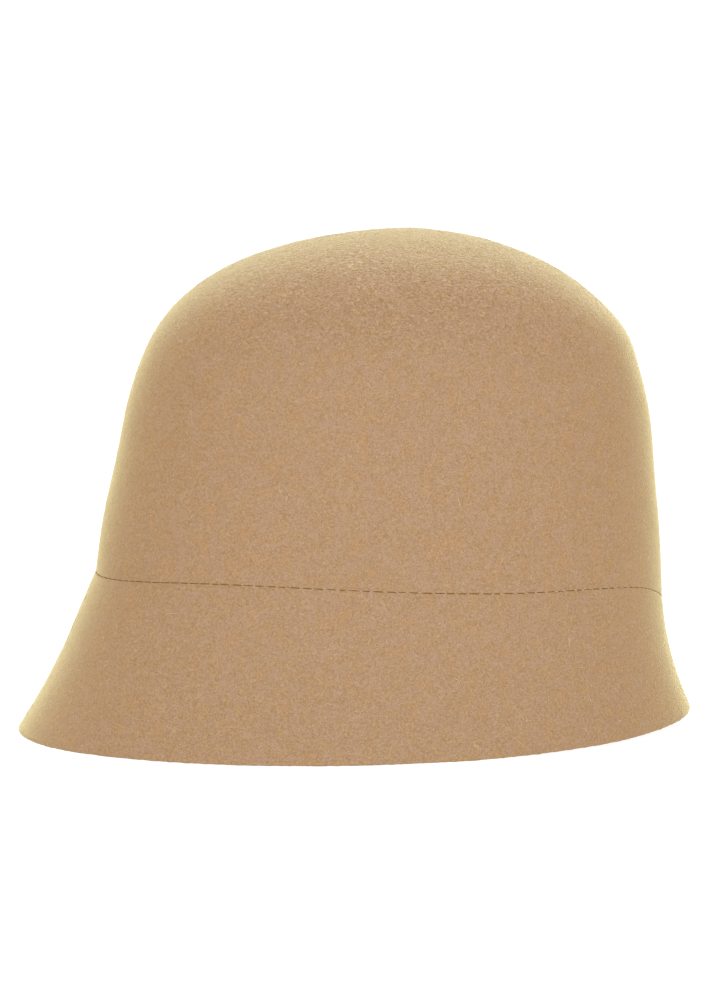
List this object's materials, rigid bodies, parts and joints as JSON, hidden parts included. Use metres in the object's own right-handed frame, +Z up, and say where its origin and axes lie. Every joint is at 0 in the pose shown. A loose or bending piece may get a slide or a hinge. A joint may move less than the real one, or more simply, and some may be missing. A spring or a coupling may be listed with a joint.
{
  "type": "felt cloche hat",
  "caption": "Felt cloche hat: a blocked, rounded crown and a short flared brim sewn on along a stitched seam, hollow for a head.",
  "frame": {"origin": "middle of the rim's oval, on the surface that the hat rests on", "axes": "+Z up through the crown, -Y towards the front of the hat, +X towards the wearer's left"},
  "size_m": [0.2046, 0.2396, 0.1745],
  "materials": {
    "felt": "camel wool felt with a fine, slightly sheeny nap",
    "thread": "sewing thread in the colour of the felt"
  },
  "bodies": {
    "root": {"crown": "felt", "brim": "felt"}
  },
  "joints": []
}
